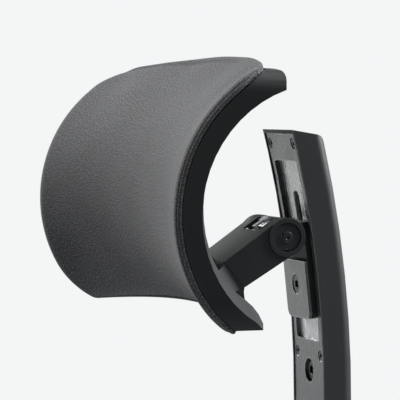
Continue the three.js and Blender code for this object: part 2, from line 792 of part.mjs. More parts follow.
// The cushion's face: its back lies along the shell's flare and then turns up with its front.
function faceProfile(top) {
  const { skin, front, topFrontY, topBackY } = cushion;
  const [skinX, skinZ] = onArc(skin, flareAngle);
  const turnZ = skinZ - (topBackY - skinX) / Math.tan(flareAngle);
  const shape = new THREE.Shape();
  shape.moveTo(topFrontY, top);
  shape.lineTo(...onArc(front, flareAngle));
  shape.absarc(0, 0, front, flareAngle, footAngle, false);
  shape.absarc(0, 0, skin, footAngle, flareAngle, true);
  shape.lineTo(topBackY, turnZ);
  shape.lineTo(topBackY, top);
  return shape;
}

// A slab of the pad: its side profile, bowed, then trimmed to its outline from the front.
function padSlab(profile, outline) {
  const end = pad.halfWidth + 2;
  const straight = sideways(profile, -end, end, pad.arcSteps, pad.bowSteps);
  const bowed = bowPad(straight.translate(0, padCentre.y, padCentre.z));
  return common(bowed, frontways(outline, pad.frontMost, pad.backMost, 3));
}

// The outline from the front. Its top and bottom rise to the middle, its low corners are
// slanted arcs and its high corners round.
function padOutline({ inset, top, bottom, highCorner, highLift = bow.highLift }) {
  const shape = new THREE.Shape();
  const halfWidth = pad.halfWidth - inset;
  const low = { radius: shell.lowCorner.radius - inset, height: shell.lowCorner.height - inset };
  const slant = Math.asin(low.height / low.radius);
  const arcX = halfWidth - low.radius;
  const lowX = arcX + low.radius * Math.cos(slant);
  const highX = halfWidth - highCorner;
  const floor = padCentre.z + bottom;
  const roof = padCentre.z + top;
  const between = (end, i) => end * ((2 * i) / pad.bowSteps - 1);
  const lowArcZ = floor + low.height + bow.lowLift * across(lowX);
  const highArcZ = roof - highCorner + highLift * across(highX);
  shape.moveTo(-lowX, floor + bow.lowLift * across(lowX));
  for (let i = 1; i <= pad.bowSteps; i += 1) {
    const x = between(lowX, i);
    shape.lineTo(x, floor + bow.lowLift * across(x));
  }
  shape.absarc(arcX, lowArcZ, low.radius, -slant, 0, false);
  shape.absarc(highX, highArcZ, highCorner, 0, Math.PI / 2, false);
  for (let i = pad.bowSteps - 1; i > 0; i -= 1) {
    const x = between(highX, i);
    shape.lineTo(x, roof + highLift * across(x));
  }
  shape.absarc(-highX, highArcZ, highCorner, Math.PI / 2, Math.PI, false);
  shape.absarc(-arcX, lowArcZ, low.radius, Math.PI, Math.PI + slant, false);
  return shape;
}

// The outline of what lies inside the shell's rim.
function insideOutline(inset) {
  const { top, bottom } = pad;
  return padOutline({
    inset,
    top: top - inset,
    bottom: bottom + inset,
    highCorner: shell.highCorner - inset,
  });
}

function rearShell() {
  const { rear, wallFront, rimFront, rimWidth, topY, topCorner, highCorner } = shell;
  const { top, bottom } = pad;
  const body = padProfile(rear, rimFront, top, topY, topCorner);
  const outer = padSlab(body, padOutline({ inset: 0, top: top + trim, bottom, highCorner }));
  const hollow = padProfile(wallFront, rimFront + openFront, top + rimWidth, pocketTopY);
  const inside = padSlab(hollow, insideOutline(rimWidth));
  const { headRadius, radius, bossRadius } = boardScrew;
  const bosses = boardScrewPlaces.map((place) =>
    alongPad(rod(0, 0, bossRadius, 0.5, 5, undefined, 16), place),
  );
  const heads = boardScrewPlaces.map((place) =>
    alongPad(rod(0, 0, headRadius + screwRoom, -6, boardScrewSeat + gap, undefined, 20), place),
  );
  const bores = boardScrewPlaces.map((place) =>
    alongPad(rod(0, 0, radius + screwRoom, -6, 12, undefined, 12), place),
  );
  const neckBores = neckScrewPlaces.flatMap(([x, z]) => [
    placeOnArm(rod(x, z, neckScrew.radius + screwRoom, -80, -30, undefined, 16)),
    placeOnArm(rod(x, z, neckScrew.headRadius + screwRoom, -75, neckScrew.seat + gap, undefined, 20)),
  ]);
  const pockets = [-1, 1].map((side) => {
    const blank = box(side * gusset.x - gusset.half, side * gusset.x + gusset.half, -70, -35, -24, -10);
    return common(placeOnArm(blank), behindShell(gusset.depth));
  });
  const whole = join(cut(outer, inside), ...bosses, neck());
  return cut(whole, ...pockets, ...heads, ...bores, ...neckBores);
}

// All that lies behind the shell's rear face, and up to a depth into it.
function behindShell(depth) {
  const round = new THREE.Shape();
  round.absarc(0, 0, shell.rear + depth, 0, 2 * Math.PI, false);
  const straight = sideways(round, -60, 60, 40, 6);
  return bowPad(straight.translate(0, padCentre.y, padCentre.z));
}

// The neck flares from the arm's end face into the shell's rear.
function neck() {
  const [topY, topZ] = arm.endTop;
  const [bottomY, bottomZ] = arm.endBottom;
  const profile = new THREE.Shape();
  profile.moveTo(bottomY - gap, bottomZ);
  profile.lineTo(topY - gap, topZ);
  profile.quadraticCurveTo(-50, 12, -53, 22);
  profile.lineTo(-72, 24);
  profile.lineTo(-66, -26);
  profile.lineTo(-47, -24);
  profile.quadraticCurveTo(-44, -12.5, bottomY - gap, bottomZ);
  const middle = placeOnArm(sideways(profile, -arm.halfWidth, arm.halfWidth, 8));
  const flareShape = new THREE.Shape();
  const half = arm.halfWidth;
  const wide = half + 10; // where the flare ends, inside the shell
  const start = -44.2;
  flareShape.moveTo(-half, start);
  flareShape.lineTo(half, start);
  flareShape.quadraticCurveTo(half + 1.5, -50, wide, -56);
  flareShape.lineTo(wide, -75);
  flareShape.lineTo(-wide, -75);
  flareShape.lineTo(-wide, -56);
  flareShape.quadraticCurveTo(-half - 1.5, -50, -half, start);
  const flare = placeOnArm(upwards(flareShape, -9, 9, 8));
  const intoShell = 1.2;
  return common(join(middle, flare), behindShell(intoShell));
}

const boardScrewPlaces = [-1, 1].flatMap((side) =>
  [-1, 1].map((level) => ({
    x: side * boardScrew.x,
    turn: THREE.MathUtils.degToRad(level * boardScrew.angle),
  })),
);

// Sets a piece drawn along +Y at the shell's rear face, pointing out through the headrest.
function alongPad(geometry, { x, turn }) {
  const height = shell.rear * Math.sin(turn);
  const y = padCentre.y + bow.back * across(x) - shell.rear * Math.cos(turn);
  const z = padCentre.z + height + liftAt(x, height);
  return geometry.rotateX(Math.PI - turn).translate(x, y, z);
}

function boardScrewBody(place) {
  const profile = [
    [boardScrew.headRadius, gap],
    [boardScrew.headRadius, boardScrewSeat],
    [boardScrew.radius, boardScrewSeat],
    [boardScrew.radius, boardScrew.length],
  ];
  return alongPad(cut(turned(profile, 18), rod(0, 0, 1.5, -1, 1.1, undefined, 6)), place);
}

function neckScrewBody([x, z]) {
  const { headRadius, radius, head, seat, end } = neckScrew;
  const profile = [
    [headRadius, head],
    [headRadius, seat],
    [radius, seat],
    [radius, end],
  ];
  const body = cut(turned(profile, 16), rod(0, 0, 1.7, head - 1, head + 2, undefined, 6));
  return placeOnArm(body.translate(x, 0, z));
}

function cushionBoard() {
  const profile = new THREE.Shape();
  profile.moveTo(...onArc(board.rear, board.topAngle));
  profile.lineTo(...onArc(board.front, board.topAngle));
  profile.absarc(0, 0, board.front, board.topAngle, footAngle, false);
  profile.absarc(0, 0, board.rear, footAngle, board.topAngle, true);
  const sheet = padSlab(profile, insideOutline(shell.rimWidth + 2 * gap));
  const bores = boardScrewPlaces.map((place) =>
    alongPad(rod(0, 0, boardScrew.radius + screwRoom, -2, 16, undefined, 12), place),
  );
  return cut(sheet, ...bores);
}

// The padding: its plug lies on the board inside the shell's rim, its face covers the rim.
function cushionBody() {
  const { rear, skin, plugTopY, rise, drop, inset, highLift, highCorner } = cushion;
  const { top, bottom } = pad;
  const facing = padOutline({ inset, top: top + rise, bottom: bottom - drop, highCorner, highLift });
  const face = padSlab(faceProfile(top + highLift), facing);
  const overlap = 0.5; // of the plug into the face
  const core = padProfile(rear, skin + overlap, top, plugTopY);
  const plug = padSlab(core, insideOutline(shell.rimWidth + 2 * gap));
  return join(face, plug);
}

function headrestPieces() {
  const group = new THREE.Group();
  group.add(piece("rear_shell", rearShell(), "shellPlastic"));
  group.add(piece("cushion_board", cushionBoard(), "boardPlastic"));
  group.add(piece("cushion", cushionBody(), "fabric"));
  boardScrewPlaces.forEach((place, i) => {
    group.add(piece(`board_screw_${i + 1}`, boardScrewBody(place), "blackSteel"));
  });
  neckScrewPlaces.forEach((place, i) => {
    group.add(piece(`neck_screw_${i + 1}`, neckScrewBody(place), "blackSteel"));
  });
  return group;
}

const headrestAttachment = new THREE.Group();
headrestAttachment.add(postPieces(), sliderPieces(), armPieces(), headrestPieces());

export default headrestAttachment;
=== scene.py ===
"""Looks for the chair headrest attachment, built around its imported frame. All in metres."""

import json
import math

import bpy
import numpy as np
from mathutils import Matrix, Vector


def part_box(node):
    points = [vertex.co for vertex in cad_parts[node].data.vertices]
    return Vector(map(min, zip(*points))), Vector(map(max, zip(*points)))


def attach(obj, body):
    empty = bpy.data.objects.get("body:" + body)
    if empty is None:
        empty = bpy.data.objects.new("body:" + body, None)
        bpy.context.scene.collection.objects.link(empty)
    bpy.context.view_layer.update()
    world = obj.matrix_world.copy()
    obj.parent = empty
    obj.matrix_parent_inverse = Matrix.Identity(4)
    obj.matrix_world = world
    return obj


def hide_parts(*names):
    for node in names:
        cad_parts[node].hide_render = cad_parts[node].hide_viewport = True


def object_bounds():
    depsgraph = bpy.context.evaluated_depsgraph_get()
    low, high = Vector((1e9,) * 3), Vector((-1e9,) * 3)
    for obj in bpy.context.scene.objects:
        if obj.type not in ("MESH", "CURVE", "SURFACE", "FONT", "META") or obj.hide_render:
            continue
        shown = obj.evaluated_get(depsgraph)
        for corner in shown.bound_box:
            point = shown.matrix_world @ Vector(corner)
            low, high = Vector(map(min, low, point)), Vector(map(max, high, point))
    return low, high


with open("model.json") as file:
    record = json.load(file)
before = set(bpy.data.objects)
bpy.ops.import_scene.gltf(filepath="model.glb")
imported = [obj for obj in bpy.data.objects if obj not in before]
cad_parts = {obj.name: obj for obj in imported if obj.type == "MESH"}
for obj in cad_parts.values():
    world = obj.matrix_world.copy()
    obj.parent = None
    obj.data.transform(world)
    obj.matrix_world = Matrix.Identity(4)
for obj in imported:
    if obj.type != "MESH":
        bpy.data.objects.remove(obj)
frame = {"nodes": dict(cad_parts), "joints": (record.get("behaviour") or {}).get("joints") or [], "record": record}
CAD_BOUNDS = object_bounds()

# ------------------------------------------------------------------ driving dimensions

# The camera, about a point near the hinge.
AIM = Vector((0.0306, -0.1060, 0.1423))
AZIMUTH = math.radians(71.0)
ELEVATION = math.radians(2.257)
DISTANCE = 1.5
FIELD_OF_VIEW = math.radians(9.486)
FLOOR_DROP = 1.10  # the floor's depth below the part, which a chair holds up

# The headrest's curved form: an arc about a centre, whose middle is pushed back and up.
PAD_CENTRE_Y = -0.0693
PAD_CENTRE_Z = 0.138
PAD_HALF = 0.150
PAD_TOP = 0.083
PAD_BOTTOM = -0.068
BOW_BACK = 0.030
LOW_LIFT = 0.0085
HIGH_LIFT = 0.0037
FLARE_ANGLE = math.radians(130)

# The cushion's cover on that form.
SKIN = 0.0884  # radius of the cover's back
COVER_HALF = 0.1485
COVER_TOP = 0.0845
COVER_BOTTOM = -0.0678
COVER_TURN_Y = -0.0395  # where the cover leaves the shell's flare and stands up
COVER_TOP_LIFT = 0.0085
LOW_CORNER_RADIUS = 0.035
LOW_CORNER_HEIGHT = 0.022
HIGH_CORNER_WIDTH = 0.036
HIGH_CORNER_HEIGHT = 0.013
PADDING = 0.0062
WALL = 0.0016  # how far in from its edge the cover's wall ends
WALL_SHARE = 0.42  # the wall's share of the padding's height
ROLL = 0.012  # how far in from its edge the cover is rounded
TOP_ROLL = 0.016  # the same along the top
SIDE_ROLL = 0.009  # the same at the sides, which have hardly any wall
SIDE_WALL_SHARE = 0.12
TOP_STARTS = 0.7  # the share of the cover's height above which it counts as its top
SWELL_CAP = 0.0016
SWELL_FRAMES = 20
EASE_ROUNDS = 12  # how often the swelling is averaged between neighbours, to ease out creases
PIPING_RADIUS = 0.0016
PIPING_TUCK = 0.0030  # how far the piping is drawn in along the top
PIPING_STEP = 0.0012  # the shortest step between two of its rings

FAR_WALL = (0.906, 0.912, 0.918)
NEAR_WALL = (0.085, 0.090, 0.095)
FAR_WALL_SPREAD = (0.91, 0.985)  # where it starts and is full, 0 being towards the camera, 1 away
CEILING = (0.42, 0.43, 0.44)  # the share of a wall's light that comes from well above it
CEILING_SPREAD = (0.06, 0.34)  # the heights between which that share sets in
FLOOR_GLOW = 0.36  # lifts the wide floor to the pale grey of a lit studio
FLOOR_RADIUS = 6.5
# Soft lights: name, place, width and height, watts. All face the part.
LIGHTS = [
    ("key", (-1.21, -0.72, 0.84), (0.7, 0.7), 48),
    ("top", (0.10, 0.15, 1.25), (0.7, 0.7), 11),
    ("back", (0.10, 1.10, 0.75), (0.6, 0.6), 46),
    ("side", (1.30, 0.10, 1.70), (0.8, 0.8), 12),
    ("low", (-3.66, -1.22, -0.70), (1.6, 0.4), 3.6),
    ("kicker", (-1.86, -0.31, 0.76), (0.25, 0.25), 0.5),
]

# How the CAD pieces' edges are rounded and shaded.
WELD_GAP = 0.000005
LARGE_PIECE = 0.05  # diagonal from which a piece gets the wider rounding
LARGE_EDGE = 0.0005
SMALL_EDGE = 0.0002
SHARP_ANGLE = math.radians(35)
SAME_FACE = 0.998  # cosine above which a facet counts as part of a smooth curve
PLATE_EDGE_HIGHLIGHT_WIDTH = 0.0013  # width of the painted highlight along the plates' edges
# width of the lighter edges on moulded plastic, partly wear and partly a painted highlight
BLACK_EDGE_WEAR_AND_HIGHLIGHT_WIDTH = 0.0007

# ------------------------------------------------------------------ materials


class Shader:
    """A node material being built: a Principled shader and short ways to feed it."""

    def __init__(self, name, **values):
        self.material = bpy.data.materials.new(name)
        self.material.use_nodes = True
        self.tree = self.material.node_tree
        self.shader = self.tree.nodes["Principled BSDF"]
        for socket, value in values.items():
            self.shader.inputs[socket.replace("_", " ")].default_value = value

    def node(self, kind, **settings):
        made = self.tree.nodes.new(kind)
        for key, value in settings.items():
            if key in made.inputs:
                made.inputs[key].default_value = value
            else:
                setattr(made, key, value)
        return made

    def link(self, source, target):
        self.tree.links.new(source, target)

    def place(self, stretch=(1, 1, 1), layer=None):
        """Texture coordinates: a UV layer in metres, or the piece's own place in the frame."""
        if layer:
            source = self.node("ShaderNodeUVMap", uv_map=layer).outputs["UV"]
        else:
            source = self.node("ShaderNodeTexCoord").outputs["Object"]
        mapping = self.node("ShaderNodeMapping")
        mapping.inputs["Scale"].default_value = stretch
        self.link(source, mapping.inputs["Vector"])
        return mapping.outputs["Vector"]

    def noise(self, place, scale, detail=2.0, roughness=0.5):
        made = self.node("ShaderNodeTexNoise", Scale=scale, Detail=detail, Roughness=roughness)
        self.link(place, made.inputs["Vector"])
        return made.outputs["Fac"]

    def ramp(self, factor, stops):
        """Colours or greys by a factor, from (place, value) stops."""
        made = self.node("ShaderNodeValToRGB")
        elements = made.color_ramp.elements
        while len(elements) < len(stops):
            elements.new(0.5)
        for element, (at, value) in zip(elements, stops):
            element.position = at
            element.color = (*value, 1) if hasattr(value, "__len__") else (value, value, value, 1)
        self.link(factor, made.inputs["Fac"])
        return made.outputs["Color"]

    def mix(self, factor, first, second, blend="MIX"):
        """Mixes two colours, each a socket or a value."""
        made = self.node("ShaderNodeMix", data_type="RGBA", blend_type=blend)
        sockets = [made.inputs[0], made.inputs[6], made.inputs[7]]
        for socket, value in zip(sockets, (factor, first, second)):
            if isinstance(value, bpy.types.NodeSocket):
                self.link(value, socket)
            else:
                socket.default_value = value if isinstance(value, float) else (*value, 1)
        return made.outputs[2]

    def math(self, operation, first, second):
        made = self.node("ShaderNodeMath", operation=operation)
        for socket, value in zip(made.inputs, (first, second)):
            if isinstance(value, bpy.types.NodeSocket):
                self.link(value, socket)
            else:
                socket.default_value = value
        return made.outputs[0]

    def bump(self, height, strength, distance, under=None):
        made = self.node("ShaderNodeBump", Strength=strength, Distance=distance)
        self.link(height, made.inputs["Height"])
        if under:
            self.link(under, made.inputs["Normal"])
        return made.outputs["Normal"]

    def vector(self, operation, first, second=(0, 0, 0), result=0):
        """Vector sums. Its result 1 is the plain number that a dot product gives."""
        made = self.node("ShaderNodeVectorMath", operation=operation)
        for socket, value in zip(made.inputs, (first, second)):
            if isinstance(value, bpy.types.NodeSocket):
                self.link(value, socket)
            else:
                socket.default_value = value
        return made.outputs[result]

    def curve_normal(self, centre):
        """The true normal of a face that curves about a line along X through the centre, where
        the mesh's own facets are within a few degrees of it, and the mesh's normal elsewhere."""
        towards = self.vector("SUBTRACT", centre, self.place())
        inward = self.vector("MULTIPLY", towards, (0, 1, 1))
        inward = self.vector("MINIMUM", inward, (0, 0, 0))  # the post is straight below the centre
        turned = self.node("ShaderNodeVectorTransform", vector_type="VECTOR",
                           convert_from="OBJECT", convert_to="WORLD")
        self.link(self.vector("NORMALIZE", inward), turned.inputs[0])
        given = self.node("ShaderNodeNewGeometry").outputs["Normal"]
        alike = self.vector("DOT_PRODUCT", given, turned.outputs[0], 1)
        mixed = self.node("ShaderNodeMix", data_type="VECTOR")
        self.link(self.math("GREATER_THAN", alike, SAME_FACE), mixed.inputs[0])
        self.link(given, mixed.inputs[4])
        self.link(turned.outputs[0], mixed.inputs[5])
        return mixed.outputs[1]

    def edges(self, width=BLACK_EDGE_WEAR_AND_HIGHLIGHT_WIDTH):
        """1 along the piece's edges and 0 on its faces: the mask for wear where hands and screws rub them, and for
        a painted highlight along them.
        """
        rounded = self.node("ShaderNodeBevel", samples=4, Radius=width).outputs["Normal"]
        plain = self.node("ShaderNodeNewGeometry").outputs["Normal"]
        return self.ramp(self.vector("DOT_PRODUCT", rounded, plain, 1), [(0.90, 1.0), (0.995, 0.0)])

    def feed(self, **sockets):
        for name, source in sockets.items():
            self.link(source, self.shader.inputs[name.replace("_", " ")])
        return self.material


def moulded_plastic(name, shade, edge_wear_and_highlight_colour, roughness, grain, gloss=0.3):
    """Spark-eroded black plastic: a fine grain, faint flow marks and lighter edges, partly wear and partly a
    painted highlight.
    """
    made = Shader(name, Specular_IOR_Level=gloss)
    place = made.place()
    fine = made.noise(place, grain, detail=3.0)
    flow = made.noise(made.place((1, 1, 0.25)), 22.0, detail=4.0)
    body = made.mix(flow, tuple(0.8 * v for v in shade), tuple(1.2 * v for v in shade))
    # Lighter edges: partly wear, partly a painted highlight along the edges.
    edge_wear_and_highlight = made.mix(made.math("MULTIPLY", made.edges(), 0.5), body, edge_wear_and_highlight_colour)
    both = made.math("ADD", made.math("MULTIPLY", fine, 0.4), made.math("MULTIPLY", flow, 0.6))
    rough = made.ramp(both, [(0.3, roughness - 0.07), (0.7, roughness + 0.07)])
    return made.feed(Base_Color=edge_wear_and_highlight, Roughness=rough, Normal=made.bump(fine, 0.35, 0.00012))


def satin_plate(name, shade, roughness, metallic, centre=None):
    """A painted metal plate: vertical brushing under the paint, a light orange peel and a painted highlight along
    its edges.
    A plate that curves about a far centre is shaded as that smooth curve."""
    made = Shader(name, Metallic=metallic, Specular_IOR_Level=0.5)
    smooth = made.curve_normal(centre) if centre else None
    brushed = made.noise(made.place((1, 1, 0.02)), 1600.0, detail=3.0)
    cloudy = made.noise(made.place(), 30.0, detail=4.0)
    peel = made.noise(made.place(), 900.0, detail=2.0)
    body = made.mix(cloudy, tuple(0.82 * v for v in shade), tuple(1.15 * v for v in shade))
    # Painted highlight: the plate's edges and hole rims are made much lighter, as bright lines of light.
    edge_wear_and_highlight = made.math("MULTIPLY", made.edges(PLATE_EDGE_HIGHLIGHT_WIDTH), 0.8)
    body = made.mix(edge_wear_and_highlight, body, tuple(3.2 * v for v in shade))
    both = made.math("ADD", made.math("MULTIPLY", brushed, 0.5), made.math("MULTIPLY", cloudy, 0.5))
    rough = made.ramp(both, [(0.35, roughness - 0.06), (0.65, roughness + 0.08)])
    lines = made.bump(brushed, 0.12, 0.00006, smooth)
    return made.feed(Base_Color=body, Roughness=rough, Normal=made.bump(peel, 0.12, 0.00008, lines))


def bare_metal(name, shade, roughness, scratches):
    """Bare or blackened steel with turning marks and small scratches."""
    made = Shader(name, Metallic=1.0)
    place = made.place((1, 0.15, 1))
    marks = made.noise(place, 2400.0, detail=3.0)
    stains = made.noise(made.place(), 120.0, detail=4.0)
    body = made.mix(stains, tuple(0.75 * v for v in shade), shade)
    rough = made.ramp(stains, [(0.3, roughness - 0.06), (0.75, roughness + 0.12)])
    return made.feed(Base_Color=body, Roughness=rough, Normal=made.bump(marks, scratches, 0.00005))


def smooth_nylon(name, shade):
    """Plain bearing plastic, faintly cloudy, with light machining marks."""
    made = Shader(name, Specular_IOR_Level=0.5)
    cloudy = made.noise(made.place(), 90.0, detail=4.0)
    marks = made.noise(made.place((1, 0.2, 1)), 1500.0)
    body = made.mix(cloudy, tuple(0.85 * v for v in shade), shade)
    rough = made.ramp(cloudy, [(0.3, 0.42), (0.7, 0.58)])
    return made.feed(Base_Color=body, Roughness=rough, Normal=made.bump(marks, 0.15, 0.00006))


def heather_fabric(name, dark, light):
    """Close woven cloth of mixed charcoal and pale yarns, on a UV layer measured in metres."""
    made = Shader(name, Roughness=0.92, Specular_IOR_Level=0.2,
                  Sheen_Weight=0.04, Sheen_Roughness=0.45)
    place = made.place(layer="cloth")
    yarns = []
    for direction in ("X", "Y"):
        wave = made.node("ShaderNodeTexWave", bands_direction=direction, Scale=340.0,
                         Distortion=2.0, Detail=2.0)
        made.link(place, wave.inputs["Vector"])
        yarns.append(wave.outputs["Fac"])
    weave = made.math("MULTIPLY", *yarns)
    yarn = made.noise(place, 1050.0, detail=3.0, roughness=0.7)
    fleck = made.ramp(yarn, [(0.46, 0.0), (0.62, 1.0)])
    cloudy = made.noise(place, 26.0, detail=4.0)
    body = made.mix(fleck, dark, light)
    body = made.mix(made.ramp(cloudy, [(0.3, 0.0), (0.7, 1.0)]), body,
                    made.mix(1.0, body, (1.22, 1.22, 1.24), "MULTIPLY"))
    body = made.mix(made.math("MULTIPLY", weave, 0.35), body, tuple(0.45 * v for v in dark))
    # Painted shade: the cover's colour darkens towards its left and right edges, where the valley beside the
    # piping lies in shade.
    split = made.node("ShaderNodeSeparateXYZ")
    made.link(place, split.inputs[0])
    aside = made.math("DIVIDE", made.math("ABSOLUTE", split.outputs["X"], 0.0), COVER_HALF)
    painted_seam_shade = made.ramp(aside, [(0.965, 0.0), (1.0, 1.0)])
    body = made.mix(made.math("MULTIPLY", painted_seam_shade, 0.6), body, tuple(0.45 * v for v in dark))
    threads = made.bump(weave, 0.2, 0.0001)
    return made.feed(Base_Color=body, Normal=made.bump(yarn, 0.15, 0.0001, threads))


POST_CENTRE = Vector(frame["joints"][0]["pos_m"])  # the line that the post curves about
FABRIC = heather_fabric("charcoal_heather", (0.013, 0.0134, 0.0142), (0.119, 0.121, 0.126))
MATERIALS = {
    "black_plastic": moulded_plastic("black_moulding", (0.0120, 0.0136, 0.0146),
                                     (0.045, 0.048, 0.050), 0.50, 2600.0, 0.25),
    # Painted highlight: the post cover's edges are made far lighter than its faces, a bright rim of light along
    # them.
    "post_cover": moulded_plastic("post_moulding", (0.023, 0.0250, 0.0262),
                                  (0.36, 0.37, 0.375), 0.50, 2400.0),
    "shell_plastic": moulded_plastic("shell_moulding", (0.0100, 0.0114, 0.0122),
                                     (0.040, 0.043, 0.046), 0.62, 2200.0, 0.2),
    "grey_plate": satin_plate("satin_plate", (0.122, 0.127, 0.128), 0.28, 0.6, POST_CENTRE),
    "dark_rail": satin_plate("dark_rail", (0.560, 0.568, 0.572), 0.28, 0.5, POST_CENTRE),
    "steel": bare_metal("bright_steel", (0.94, 0.95, 0.96), 0.44, 0.25),
    "black_steel": bare_metal("blackened_steel", (0.075, 0.077, 0.080), 0.32, 0.2),
    "nylon": smooth_nylon("bearing_nylon", (0.66, 0.65, 0.61)),
    "board_plastic": moulded_plastic("board_moulding", (0.030, 0.032, 0.034),
                                     (0.06, 0.06, 0.06), 0.65, 1200.0),
}

# ------------------------------------------------------------------ the CAD pieces


def soften_edges(piece, width, smooth):
    """Shades a CAD piece and rounds its sharp edges, without touching its mesh's shape."""
    piece.data.polygons.foreach_set("use_smooth", [smooth] * len(piece.data.polygons))
    weld = piece.modifiers.new("weld", "WELD")
    weld.merge_threshold = WELD_GAP
    bevel = piece.modifiers.new("edge", "BEVEL")
    bevel.width = width
    bevel.segments = 2
    bevel.limit_method = "ANGLE"
    bevel.angle_limit = SHARP_ANGLE
    bevel.use_clamp_overlap = True
    if smooth:
        weighted = piece.modifiers.new("normals", "WEIGHTED_NORMAL")
        weighted.weight = 100
        weighted.thresh = 0.05


def dress_cad_pieces():
    for part in frame["record"]["subparts"]:
        piece = frame["nodes"][part["node"]]
        slot = part["material_slot"]
        if slot == "fabric":
            continue
        piece.data.materials.clear()
        piece.data.materials.append(MATERIALS.get(part["node"], MATERIALS[slot]))
        low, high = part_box(part["node"])
        large = (high - low).length > LARGE_PIECE
        plate = slot in ("grey_plate", "dark_rail")
        soften_edges(piece, LARGE_EDGE if large else SMALL_EDGE, smooth=not plate)


# ------------------------------------------------------------------ the cushion


def across(x):
    """1 in the middle of the pad and 0 at its ends."""
    return 1 - (x / PAD_HALF) ** 2


def lift_at(x, height):
    share = np.clip((height - PAD_BOTTOM) / (PAD_TOP - PAD_BOTTOM), 0, 1)
    return across(x) * (LOW_LIFT + (HIGH_LIFT - LOW_LIFT) * share)


FLARE_LENGTH = (COVER_TURN_Y - SKIN * math.cos(FLARE_ANGLE)) / math.sin(FLARE_ANGLE)


def cover_point(x, along, height):
    """A place on the cover: x, the length along its back from the start of the flare, up
    being positive, and the height above its back."""
    radius = SKIN + height
    sine, cosine = math.sin(FLARE_ANGLE), math.cos(FLARE_ANGLE)
    turn = FLARE_ANGLE - np.minimum(along, 0) / SKIN
    straight = np.clip(along, 0, FLARE_LENGTH)
    above = np.maximum(along - FLARE_LENGTH, 0)
    y = radius * np.cos(turn) + straight * sine
    z = radius * np.sin(turn) - straight * cosine
    z = z + above
    y = PAD_CENTRE_Y + y + BOW_BACK * across(x)
    return np.stack([x, y, PAD_CENTRE_Z + z + lift_at(x, z)], -1)


def along_at(x, height_wanted):
    """The length along the cover's back that reaches a height above the pad's centre."""
    tries = np.linspace(-0.22, 0.06, 1400)
    heights = cover_point(np.zeros_like(tries) + x, tries, 0.0)[:, 2] - PAD_CENTRE_Z
    return float(np.interp(height_wanted, heights, tries))


def edge_heights(x):
    """The cover's lowest and highest heights at x, with its corners cut."""
    low = COVER_BOTTOM + LOW_LIFT * across(x)
    high = COVER_TOP + COVER_TOP_LIFT * across(x)
    into_low = abs(x) - (COVER_HALF - LOW_CORNER_RADIUS)
    if into_low > 0:
        cut = LOW_CORNER_HEIGHT - math.sqrt(max(LOW_CORNER_RADIUS**2 - into_low**2, 0))
        low = max(low, low + cut)
    into_high = (abs(x) - (COVER_HALF - HIGH_CORNER_WIDTH)) / HIGH_CORNER_WIDTH
    if into_high > 0:
        high -= HIGH_CORNER_HEIGHT * (1 - math.sqrt(max(1 - into_high**2, 0)))
    return low, high


def crowded(count, power=1.9):
    """Places from -1 to 1, closer together towards both ends."""
    even = np.linspace(-1, 1, count)
    return np.sign(even) * (1 - (1 - np.abs(even)) ** power)


def cover_grid(columns, rows):
    """The cover's flat pattern: x and length along its back at each grid place."""
    xs = COVER_HALF * crowded(columns)
    share = (crowded(rows) + 1) / 2
    ends = np.array([[along_at(x, h) for h in edge_heights(x)] for x in xs])
    lengths = ends[:, :1] + (ends[:, 1:] - ends[:, :1]) * share
    return np.repeat(xs[:, None], rows, 1), lengths


def edge_loop(xs, lengths):
    """The flat pattern's edge as one closed run of places."""
    runs = [(xs[:, 0], lengths[:, 0]), (xs[-1], lengths[-1]),
            (xs[::-1, -1], lengths[::-1, -1]), (xs[0, ::-1], lengths[0, ::-1])]
    return np.concatenate([np.stack(run, -1)[:-1] for run in runs])


def distance_to_edge(xs, lengths):
    """How far each place of the flat pattern is from the pattern's edge."""
    start = edge_loop(xs, lengths)
    step = np.roll(start, -1, 0) - start
    length = np.maximum((step**2).sum(-1), 1e-12)
    places = np.stack([xs, lengths], -1).reshape(-1, 1, 2)
    share = np.clip(((places - start) * step).sum(-1) / length, 0, 1)
    nearest = start + share[..., None] * step
    return np.sqrt(((places - nearest) ** 2).sum(-1)).min(-1).reshape(xs.shape)


def quarter_round(distance, width):
    """From 0 at the edge to 1 at a width from it, upright at its start and level at its end."""
    return np.sqrt(1 - (1 - np.clip(distance / width, 0, 1)) ** 2)


def rolled(distance, xs):
    """The padding's height by distance from the edge: a short wall, a quarter round, then flat.
    The round is slacker along the top, and the sides are round all the way down to their edge."""
    rows = distance.shape[1]
    top = np.clip((np.arange(rows) / (rows - 1) - TOP_STARTS) / (1 - TOP_STARTS), 0, 1) ** 2
    wall = quarter_round(distance, WALL)
    flat = quarter_round(distance, ROLL + (TOP_ROLL - ROLL) * top)
    walled = WALL_SHARE * wall + (1 - WALL_SHARE) * flat
    flat = quarter_round(distance, SIDE_ROLL)
    sewn = SIDE_WALL_SHARE * wall + (1 - SIDE_WALL_SHARE) * flat
    beside = np.clip((np.abs(xs) - (COVER_HALF - 2 * SIDE_ROLL)) / SIDE_ROLL, 0, 1)
    return PADDING * (walled + (sewn - walled) * beside * (1 - top))


def new_piece(name, points, faces, material, uvs=None):
    mesh = bpy.data.meshes.new(name)
    mesh.from_pydata([tuple(p) for p in points], [], faces)
    mesh.polygons.foreach_set("use_smooth", [True] * len(mesh.polygons))
    mesh.materials.append(material)
    if uvs is not None:
        layer = mesh.uv_layers.new(name="cloth")
        for loop in mesh.loops:
            layer.data[loop.index].uv = uvs[loop.vertex_index]
    mesh.validate()
    piece = bpy.data.objects.new(name, mesh)
    bpy.context.scene.collection.objects.link(piece)
    return piece


